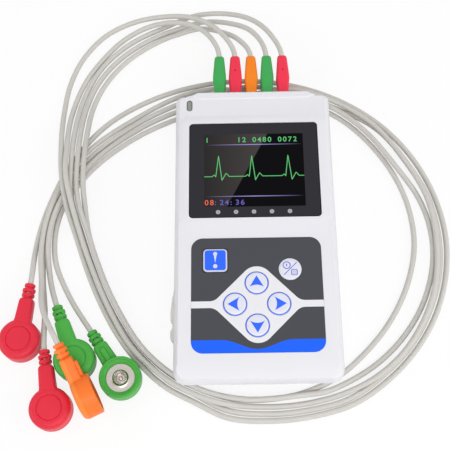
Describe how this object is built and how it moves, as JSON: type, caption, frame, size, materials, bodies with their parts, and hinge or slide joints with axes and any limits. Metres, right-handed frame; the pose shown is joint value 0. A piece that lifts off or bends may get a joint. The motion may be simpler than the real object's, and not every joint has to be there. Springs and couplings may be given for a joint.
{
  "type": "holter monitor",
  "caption": "Ambulatory heart recorder with a display, arrow, mark and power keys, a battery door, a port flap and plugged leads that end in snap clips.",
  "frame": {"origin": "middle of the casing's flat rear face, which lies on the table", "axes": "+X to the right of the display, +Y along the casing to the lead connectors, +Z out of the display"},
  "size_m": [0.1608, 0.1673, 0.0247],
  "materials": {
    "case": "fine satin moulded plastic",
    "window": "polished, dark printed border",
    "display": "lit picture",
    "lights": "satin",
    "lens": "frosted",
    "overlay": "fine matt printed film",
    "blue_key": "printed film",
    "pale_key": "printed film",
    "steel": "bright",
    "board": "lacquered",
    "cell": "printed sleeve",
    "flap": "soft",
    "dark_plastic": "moulded",
    "contact": "plated",
    "plug_green": "moulded",
    "plug_red": "moulded",
    "plug_orange": "moulded",
    "lead": "soft extruded sheath",
    "snap_green": "moulded",
    "snap_red": "moulded",
    "snap_orange": "moulded",
    "socket": "bright plated"
  },
  "bodies": {
    "casing": {"front_shell": "case", "rear_shell": "case", "display_window": "window", "display_panel": "display", "status_lights": "lights", "indicator_lens": "lens", "keypad_overlay": "overlay", "key_domes": "steel", "main_board": "board", "battery_cell_1": "cell", "battery_cell_2": "cell", "battery_springs": "steel", "contact_plates": "steel", "usb_socket": "steel", "port_anchor": "flap", "jack_block": "dark_plastic", "jack_contacts": "contact", "case_screws": "steel", "plug_1": "plug_green", "lead_1": "lead", "snap_1": "snap_green", "snap_socket_1": "socket", "plug_2": "plug_red", "lead_2": "lead", "snap_2": "snap_red", "snap_socket_2": "socket", "plug_3": "plug_orange", "lead_3": "lead", "snap_3": "snap_orange", "snap_socket_3": "socket", "plug_4": "plug_green", "lead_4": "lead", "snap_4": "snap_green", "snap_socket_4": "socket", "plug_5": "plug_red", "lead_5": "lead", "snap_5": "snap_red", "snap_socket_5": "socket"},
    "battery_door": {"battery_door": "case"},
    "port_flap": {"port_flap": "flap"},
    "mark_key": {"mark_key": "blue_key"},
    "power_key": {"power_key": "pale_key"},
    "up_key": {"up_key": "pale_key"},
    "down_key": {"down_key": "pale_key"},
    "left_key": {"left_key": "pale_key"},
    "right_key": {"right_key": "pale_key"}
  },
  "joints": [
    {"name": "battery_door_hinge", "type": "hinge", "parent": "casing", "child": "battery_door", "pos_m": [0, 0.0087, 0.0012], "axis": [1, 0, 0], "range_deg": [0, 75]},
    {"name": "port_flap_hinge", "type": "hinge", "parent": "casing", "child": "port_flap", "pos_m": [-0.0271, -0.021, 0.0136], "axis": [0, 0, -1], "range_deg": [0, 100]},
    {"name": "mark_key_press", "type": "slide", "parent": "casing", "child": "mark_key", "axis": [0, 0, -1], "range_m": [0, 0.0004], "stiffness_N_per_m": 600, "springref_m": -0.001},
    {"name": "power_key_press", "type": "slide", "parent": "casing", "child": "power_key", "axis": [0, 0, -1], "range_m": [0, 0.0004], "stiffness_N_per_m": 600, "springref_m": -0.001},
    {"name": "up_key_press", "type": "slide", "parent": "casing", "child": "up_key", "axis": [0, 0, -1], "range_m": [0, 0.0004], "stiffness_N_per_m": 600, "springref_m": -0.001},
    {"name": "down_key_press", "type": "slide", "parent": "casing", "child": "down_key", "axis": [0, 0, -1], "range_m": [0, 0.0004], "stiffness_N_per_m": 600, "springref_m": -0.001},
    {"name": "left_key_press", "type": "slide", "parent": "casing", "child": "left_key", "axis": [0, 0, -1], "range_m": [0, 0.0004], "stiffness_N_per_m": 600, "springref_m": -0.001},
    {"name": "right_key_press", "type": "slide", "parent": "casing", "child": "right_key", "axis": [0, 0, -1], "range_m": [0, 0.0004], "stiffness_N_per_m": 600, "springref_m": -0.001}
  ]
}
